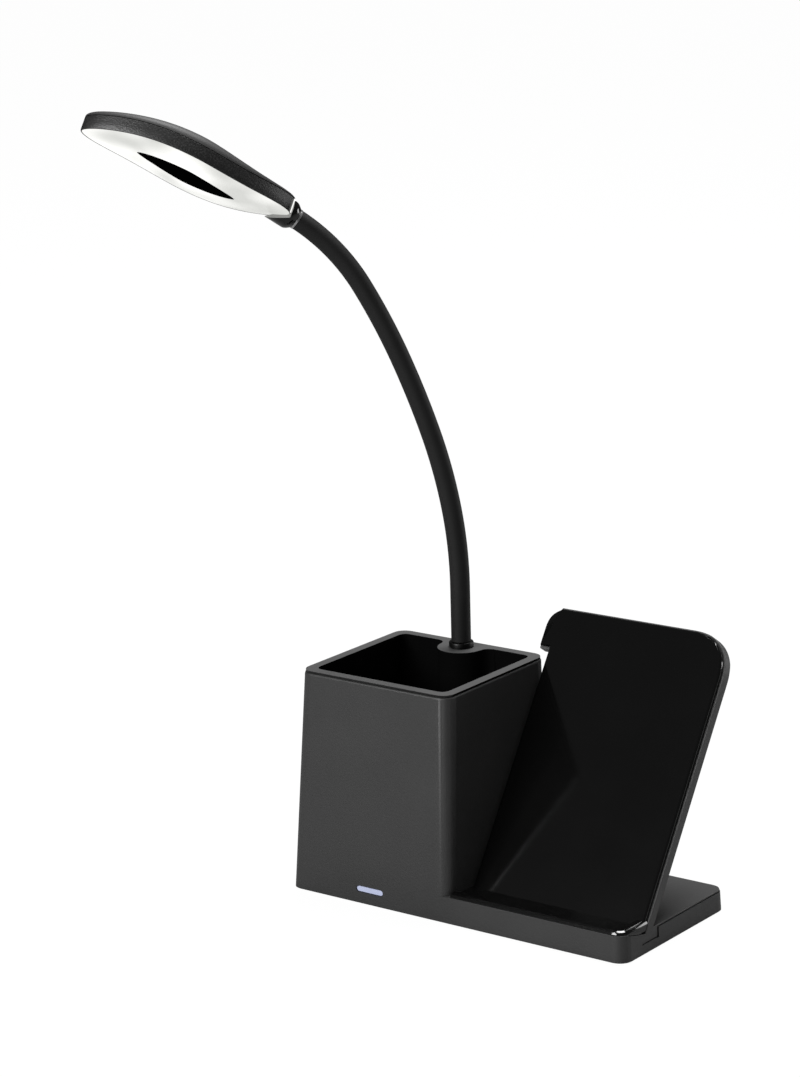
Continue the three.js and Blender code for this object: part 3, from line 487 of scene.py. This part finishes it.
def neckMatrix(along):
    place, tangent, _ = neckAt(along)
    third = tangent.cross(sideways)
    turn = Matrix((sideways, third, tangent)).transposed().to_4x4()
    return Matrix.Translation(place) @ turn


def ringEdges(verts):
    inside = set(verts)
    return list({e for v in verts for e in v.link_edges if e.other_vert(v) in inside})


def addRing(bm, points):
    verts = bmesh.ops.create_circle(bm, segments=len(points), radius=1.0)["verts"]
    for vert, point in zip(verts, points):
        vert.co = point
    return verts


def bridgeRings(bm, rings):
    for first, second in zip(rings, rings[1:]):
        bmesh.ops.bridge_loops(bm, edges=ringEdges(first) + ringEdges(second))


def vertsOf(geometry):
    return [g for g in geometry if isinstance(g, bmesh.types.BMVert)]


# Carries two rings of vertices along the neck from one place to another
def sweepNeck(bm, verts, start, end):
    stretchStart = 0.0
    for length, degrees in zip(neckSet["lengths"], neckSet["turns"]):
        first = max(start, stretchStart)
        last = min(end, stretchStart + length)
        stretchStart += length
        if last - first < neckSet["leastLength"]:
            continue
        place, tangent, angle = neckAt(first)
        steps = max(neckSet["leastSteps"], round((last - first) / neckSet["stepLength"]))
        edges = ringEdges(verts)
        if degrees == 0:
            for _ in range(steps):
                verts = vertsOf(bmesh.ops.extrude_edge_only(bm, edges=edges)["geom"])
                bmesh.ops.translate(bm, verts=verts, vec=tangent * (last - first) / steps)
                edges = ringEdges(verts)
            continue
        bend = math.radians(degrees) / length
        normal = outward * math.cos(angle) - upward * math.sin(angle)
        spun = bmesh.ops.spin(bm, geom=verts + edges, cent=place + normal / bend, axis=sideways,
                              angle=bend * (last - first), steps=steps, use_duplicate=False)
        verts = vertsOf(spun["geom_last"])
    return verts


def circlePoints(matrix, radius, sides):
    angles = [2 * math.pi * i / sides for i in range(sides)]
    return [matrix @ Vector((radius * math.cos(a), radius * math.sin(a), 0)) for a in angles]


def splitByRadius(verts, along):
    place = neckAt(along)[0]
    limit = (neckSet["radius"] + neckSet["bore"]) / 2
    outer = [v for v in verts if (v.co - place).length > limit]
    inner = [v for v in verts if (v.co - place).length <= limit]
    return outer, inner


def makeSleeve(index, start, end):
    bm = bmesh.new()
    matrix = neckMatrix(start)
    outer = addRing(bm, circlePoints(matrix, neckSet["radius"], neckSet["sides"]))
    inner = addRing(bm, circlePoints(matrix, neckSet["bore"], neckSet["sides"]))
    last = sweepNeck(bm, outer + inner, start, end)
    bridgeRings(bm, [outer, inner])
    bridgeRings(bm, splitByRadius(last, end))
    bmesh.ops.scale(bm, vec=(mm, mm, mm), verts=bm.verts)
    node = f"sleeve_{index + 1}"
    piece = makePiece(f"neck_{node}", bm, "black_rubber", None, node)
    bodies = ["base", "neck_1", "neck_2", "neck_3", "neck_4", "neck_5"]
    bodies[index + 1]
    tuple(neckAt(start)[0] * mm)
    tuple(neckAt(end)[0] * mm)
    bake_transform(piece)


seams = [(a + b) / 2 for a, b in zip(joints[:4], joints[1:5])]
sleeveEnds = [neckSet["start"], *seams, neckSet["end"]]
for index, (start, end) in enumerate(zip(sleeveEnds, sleeveEnds[1:])):
    makeSleeve(index, start, end)
print("neck sleeve made")


# A turned piece: half profile of (radius, height) in mm, spun round an axis
def turned(profile, matrix, steps=64):
    bm = bmesh.new()
    verts = [bm.verts.new((r, 0, z)) for r, z in profile]
    edges = [bm.edges.new(pair) for pair in zip(verts, verts[1:] + verts[:1])]
    bmesh.ops.spin(bm, geom=verts + edges, cent=(0, 0, 0), axis=(0, 0, 1), angle=2 * math.pi,
                   steps=steps, use_merge=True, use_duplicate=False)
    bmesh.ops.transform(bm, matrix=Matrix.Scale(mm, 4) @ matrix, verts=bm.verts)
    return bm


socketSet = {
    "bore": 2.9,
    "radius": 4.3,
    "flange": 4.9,
    "bottom": 68.2,
    "flangeZ": 90.3,
    "top": 92.3,
    "edge": 0.15,
    "round": 0.5,
    "roundShare": 0.3,
}


def makeSocket(s):
    profile = [
        (s["bore"], s["bottom"]), (s["radius"], s["bottom"]), (s["radius"], s["flangeZ"]),
        (s["flange"] - s["edge"], s["flangeZ"]), (s["flange"], s["flangeZ"] + s["edge"]),
        (s["flange"], s["top"] - s["round"]),
        (s["flange"] - s["edge"], s["top"] - s["round"] * s["roundShare"]),
        (s["flange"] - s["round"], s["top"]), (s["bore"], s["top"]),
    ]
    foot = Vector(neckSet["foot"])
    bm = turned(profile, Matrix.Translation((foot.x, foot.y, 0)))
    makePiece("neck_foot", bm, "dark_metal", "base", "neck_socket", finish="foot_metal")


makeSocket(socketSet)

ringSet = {"bore": 2.9, "radius": 4.05, "length": 1.0, "start": 188.05, "round": 0.15}


def makeCollarRing(s):
    profile = [
        (s["bore"], 0), (s["radius"] - s["round"], 0), (s["radius"], s["round"]),
        (s["radius"], s["length"] - s["round"]), (s["radius"] - s["round"], s["length"]),
        (s["bore"], s["length"]),
    ]
    bm = turned(profile, neckMatrix(s["start"]))
    makePiece("neck_end_ring", bm, "dark_metal", "neck_5", "collar_ring", finish="steel")


makeCollarRing(ringSet)
print("neck rings made")


# Head, along X from the neck end, with its lit face down, in mm and degrees
headSet = {
    "length": 85.4,
    "width": 44.2,
    "curve": 1.71,  # exponent of the outline, 2 is an ellipse
    "tilt": 24.6,
    "roll": 22.5,
    "ahead": 2.2,
    "lift": 0.65,
    "wave": 1.5,
    "bow": 0.16,
    "steps": 120,
}
tiltAngle = math.radians(headSet["tilt"])
rollAngle = math.radians(headSet["roll"])
headAxis = outward * math.cos(tiltAngle) + upward * math.sin(tiltAngle)
levelUp = headAxis.cross(sideways)
rolledSide = sideways * math.cos(rollAngle) + levelUp * math.sin(rollAngle)
headUp = headAxis.cross(rolledSide)
headFoot = neckAt(joints[5])[0] + headAxis * headSet["ahead"] + headUp * headSet["lift"]
headTurn = Matrix((headAxis, rolledSide, headUp)).transposed().to_4x4()
headMatrix = Matrix.Scale(mm, 4) @ Matrix.Translation(headFoot) @ headTurn


# The head's side profile is a shallow S
def bendAt(x):
    turn = x / headSet["length"] * math.pi
    return -(headSet["wave"] * math.sin(turn * 2) + headSet["bow"] * math.sin(turn))


def signedPower(value, power):
    return math.copysign(abs(value) ** power, value)


# A ring at an inset from the head's outline, with its height given along the head
def headRing(inset, levelAt, share=1.0):
    points = []
    curve = headSet["curve"]
    for step in range(headSet["steps"]):
        angle = (step + 0.5) / headSet["steps"] * 2 * math.pi
        across = signedPower(math.cos(angle), 2 / curve)
        along = signedPower(math.sin(angle), 2 / curve)
        normal = Vector((signedPower(across, curve - 1) * headSet["width"],
                         signedPower(along, curve - 1) * headSet["length"])).normalized()
        x = (1 + across) * headSet["length"] / 2 - normal.x * inset
        y = along * headSet["width"] / 2 - normal.y * inset
        points.append(Vector((x, y * share, levelAt(x) + bendAt(x))))
    return points


def level(z):
    return lambda x: z


def headLoft(pointRings, closed=False):
    bm = bmesh.new()
    rings = [addRing(bm, points) for points in pointRings]
    bridgeRings(bm, rings + rings[:1] if closed else rings)
    bmesh.ops.transform(bm, matrix=headMatrix, verts=bm.verts)
    return bm


bandSet = {
    "height": 5.6,
    "wall": 1.2,
    "edge": 0.35,
    "edgeShare": 0.3,
    "topEdge": 0.25,
    "lip": 0.55,
    "rebate": 0.9,
    "innerTop": 2.6,
}


def makeBand(s):
    top = s["height"]
    rings = [
        headRing(s["wall"], level(s["innerTop"])),
        headRing(s["wall"], level(s["rebate"])),
        headRing(s["lip"], level(s["rebate"])),
        headRing(s["lip"], level(0)),
        headRing(s["edge"] * s["edgeShare"], level(s["edge"] * s["edgeShare"])),
        headRing(0, level(s["edge"])),
        headRing(0, level(top / 2)),
        headRing(0, level(top - s["topEdge"])),
        headRing(s["topEdge"], level(top)),
        headRing(s["wall"], level(top)),
    ]
    makePiece("head_band", headLoft(rings, closed=True), "satin_shell", "head", "head_frame")


makeBand(bandSet)

domeSet = {
    "bottom": 5.7,
    "rise": 4.3,
    "shoulder": 5.0,
    "shell": 1.6,
    "neckShare": 0.35,
    "tipShare": 0.6,
    "steps": 9,
    "topShares": (0.8, 0.5, 0.25, 0),
}


# How much of the cover's rise there is along the head: all in the middle, less at both ends
def riseShareAt(x):
    along = x / (headSet["length"] / 2)
    end = domeSet["neckShare"] if along < 1 else domeSet["tipShare"]
    share = 1 - abs(along - 1)
    return end + (1 - end) * share * share * (3 - 2 * share)


def domeRings(s, inset, rise):
    rings = []
    for step in range(s["steps"] + 1):
        angle = step / s["steps"] * math.pi / 2
        reach = inset + (s["shoulder"] - inset) * (1 - math.cos(angle))
        rings.append(headRing(reach, lambda x, a=angle: s["bottom"] + rise * riseShareAt(x) * math.sin(a)))
    for share in s["topShares"]:
        rings.append(headRing(s["shoulder"], lambda x: s["bottom"] + rise * riseShareAt(x), share))
    return rings


def makeDome(s):
    inner = domeRings(s, s["shell"], s["rise"] - s["shell"])[::-1]
    outer = domeRings(s, 0, s["rise"])
    makePiece("head_cover", headLoft(inner + outer), "grey_cover", "head", "head_top_cover")


makeDome(domeSet)

faceSet = {
    "inset": 1.5,
    "lip": 0.6,
    "rebate": 0.85,
    "thickness": 1.6,
    "bulge": 1.4,
    "bulgePower": 4,
    "edge": 0.1,
    "shares": (0, 0.2, 0.4, 0.6, 0.75, 0.88, 0.96, 1),
}


def faceLevelAt(x, share):
    fade = math.sqrt(max(math.sin(x / headSet["length"] * math.pi), 0))
    return faceSet["edge"] - faceSet["bulge"] * (1 - share ** faceSet["bulgePower"]) * fade


def halfWidthAt(x):
    along = min(abs(x / (headSet["length"] / 2) - 1), 1)
    return headSet["width"] / 2 * (1 - along ** headSet["curve"]) ** (1 / headSet["curve"])


def makeDiffuser(s):
    lower = [headRing(s["lip"], lambda x, k=k: faceLevelAt(x, k), k) for k in s["shares"]]
    lower += [headRing(s["lip"], level(s["rebate"])), headRing(s["inset"], level(s["rebate"]))]
    upper = [headRing(s["inset"], lambda x, k=k: faceLevelAt(x, k) + s["thickness"], k)
             for k in s["shares"][::-1]]
    makePiece("lit_face", headLoft(lower + upper), "frosted_white", "head", "diffuser")


makeDiffuser(faceSet)

# The eye-shaped plate, its levels measured from the lit face, down is minus
eyeSet = {
    "length": 40.6,
    "width": 15.4,
    "curve": 1.45,
    "middle": 42.5,
    "steps": 96,
    "gap": 0.12,
    "front": -0.12,
    "frontEdge": -0.04,
    "back": 0.9,
    "frontShares": (0, 0.35, 0.7, 0.97),
    "backShares": (0.6, 0),
}


def eyeRing(s, share, lift):
    points = []
    for step in range(s["steps"]):
        angle = (step + 0.5) / s["steps"] * 2 * math.pi
        x = s["middle"] + signedPower(math.cos(angle), 2 / s["curve"]) * (s["length"] / 2 - s["gap"])
        y = signedPower(math.sin(angle), 2 / s["curve"]) * (s["width"] / 2 - s["gap"]) * share
        points.append(Vector((x, y, faceLevelAt(x, y / halfWidthAt(x)) + bendAt(x) + lift)))
    return points


def makeEye(s):
    rings = [eyeRing(s, share, s["front"]) for share in s["frontShares"]]
    rings += [eyeRing(s, 1, s["frontEdge"]), eyeRing(s, 1, s["back"])]
    rings += [eyeRing(s, share, s["back"]) for share in s["backShares"]]
    makePiece("face_centre", headLoft(rings), "gloss_shell", "head", "centre_plate", finish="eye_plate")


makeEye(eyeSet)

bootSet = {
    "neckRadius": 4.1,
    "radius": 5.65,
    "rounding": 2.9,
    "roundingSteps": 6,
    "length": 12.0,
    "bore": 2.9,
    "pin": 2.1,
    "reach": 0.7,
    "seat": 0.2,
    "cutSlack": 0.000001,  # m
    "onPlane": 0.000004,  # m
    "leastEdge": 0.00003,  # m
}


# The boot is a round tube round the neck's end, cut level below the head's end and upright at it
def makeBoot(s):
    profile = [(0, s["pin"]), (s["bore"], s["pin"]), (s["bore"], 0)]
    for step in range(s["roundingSteps"] + 1):
        share = step / s["roundingSteps"]
        radius = s["neckRadius"] + (s["radius"] - s["neckRadius"]) * math.sin(share * math.pi / 2)
        profile.append((radius, s["rounding"] * share))
    profile += [(s["radius"], s["length"]), (0, s["length"])]
    bm = turned(profile, neckMatrix(joints[5]))
    bmesh.ops.remove_doubles(bm, verts=bm.verts, dist=fineMergeGap)
    upright = (headFoot + headAxis * s["reach"]) * mm, headAxis
    seat = (headFoot - upward * s["seat"]) * mm, upward
    planes = (upright, seat)
    for place, normal in planes:
        bmesh.ops.bisect_plane(bm, geom=bm.verts[:] + bm.edges[:] + bm.faces[:], dist=s["cutSlack"],
                               plane_co=place, plane_no=normal)

    def beyond(spot, plane):
        return (spot - plane[0]).dot(plane[1])

    cut = [f for f in bm.faces if min(beyond(f.calc_center_median(), plane) for plane in planes) > 0]
    bmesh.ops.delete(bm, geom=cut, context="FACES")
    rim = [e for e in bm.edges if e.is_boundary]
    rimVerts = {v for e in rim for v in e.verts}
    corners = [v for v in rimVerts if max(abs(beyond(v.co, plane)) for plane in planes) < s["onPlane"]]
    corner = bm.edges.new(corners)
    for plane in planes:
        loop = [e for e in rim if max(abs(beyond(v.co, plane)) for v in e.verts) < s["onPlane"]]
        bmesh.ops.contextual_create(bm, geom=loop + [corner])
    bmesh.ops.dissolve_degenerate(bm, edges=bm.edges, dist=s["leastEdge"])
    makePiece("head_boot", bm, "gloss_shell", "head", "head_frame")


makeBoot(bootSet)

paintedGlowSet = {
    "inside": 0.1,
    "outside": 0.4,
    "reach": 1.1,
    "bottom": -0.1,
    "top": 5.3,
    "cutSlack": 0.0001,
}


# A glowing strip round the head's end, where the boot meets it: painted light, standing in for the lit
# face's light falling on the boot's cut face
def makePaintedGlowLine(s):
    bm = bmesh.new()
    places = [(s["inside"], s["bottom"]), (-s["outside"], s["bottom"]),
              (-s["outside"], s["top"]), (s["inside"], s["top"])]
    rings = [addRing(bm, headRing(inset, level(z))) for inset, z in places]
    bridgeRings(bm, rings + rings[:1])
    bmesh.ops.bisect_plane(bm, geom=bm.verts[:] + bm.edges[:] + bm.faces[:], dist=s["cutSlack"],
                           plane_co=(s["reach"], 0, 0), plane_no=(1, 0, 0), clear_outer=True)
    ends = [e for e in bm.edges if e.is_boundary]
    bmesh.ops.holes_fill(bm, edges=ends, sides=0)
    bmesh.ops.transform(bm, matrix=headMatrix, verts=bm.verts)
    makePiece("head_end_painted_glow", bm, "frosted_white", "head", finish="bright_seam")


makePaintedGlowLine(paintedGlowSet)
print("head made")


# Floor and backdrop, white to the camera and grey to the object
stageSet = {
    "floor": 6.0,
    "glow": 1.09,
    "glowShare": 0.9,
    "world": 0.09,
    "bounce": 0.25,
    "roughness": 0.9,
}


def makeFloor(s):
    bm = bmesh.new()
    bmesh.ops.create_grid(bm, x_segments=1, y_segments=1, size=s["floor"])
    mesh = bpy.data.meshes.new("floor")
    bm.to_mesh(mesh)
    bm.free()
    floor = addObject("floor", mesh)
    material = bpy.data.materials.new("floor")
    material.use_nodes = True
    tree = material.node_tree
    shader = tree.nodes["Principled BSDF"]
    shader.inputs["Base Color"].default_value = grey(s["bounce"])
    shader.inputs["Roughness"].default_value = s["roughness"]
    shader.inputs["Specular IOR Level"].default_value = 0.0
    glow = tree.nodes.new("ShaderNodeEmission")
    glow.inputs["Strength"].default_value = s["glow"]
    path = tree.nodes.new("ShaderNodeLightPath")
    mix = tree.nodes.new("ShaderNodeMixShader")
    share = tree.nodes.new("ShaderNodeMath")
    share.operation = "MULTIPLY"
    share.inputs[1].default_value = s["glowShare"]
    tree.links.new(path.outputs["Is Camera Ray"], share.inputs[0])
    tree.links.new(share.outputs[0], mix.inputs["Fac"])
    tree.links.new(shader.outputs[0], mix.inputs[1])
    tree.links.new(glow.outputs[0], mix.inputs[2])
    tree.links.new(mix.outputs[0], tree.nodes["Material Output"].inputs["Surface"])
    mesh.materials.append(material)


makeFloor(stageSet)


def makeWorld(s):
    world = bpy.data.worlds.new("studio")
    bpy.context.scene.world = world
    world.use_nodes = True
    tree = world.node_tree
    background = tree.nodes["Background"]
    path = tree.nodes.new("ShaderNodeLightPath")
    strength = tree.nodes.new("ShaderNodeMath")
    strength.operation = "MULTIPLY_ADD"
    strength.inputs[1].default_value = 1 - s["world"]
    strength.inputs[2].default_value = s["world"]
    tree.links.new(path.outputs["Is Camera Ray"], strength.inputs[0])
    tree.links.new(strength.outputs[0], background.inputs["Strength"])
    background.inputs["Color"].default_value = grey(1)


makeWorld(stageSet)

# Square area lamps, in metres and watts, all turned to one spot on the lamp
lampAim = (0, 0, 0.12)
lampSets = {
    "key": {"place": (-0.45, -1.95, 0.95), "size": 0.9, "power": 49.0},
    "top": {"place": (-0.05, 0.5, 1.7), "size": 0.8, "power": 44.0},
    "side": {"place": (1.0, 1.6, 0.3), "size": 0.6, "power": 7.0},
}


def makeLamp(name, s):
    data = bpy.data.lights.new(name, "AREA")
    data.size = s["size"]
    data.energy = s["power"]
    lamp = addObject(name, data)
    lamp.location = s["place"]
    aim = Vector(lampAim) - Vector(s["place"])
    lamp.rotation_euler = aim.to_track_quat("-Z", "Y").to_euler()


for name, lampSet in lampSets.items():
    makeLamp(name, lampSet)

bpy.context.scene.view_settings.view_transform = "Standard"
print("stage lit")
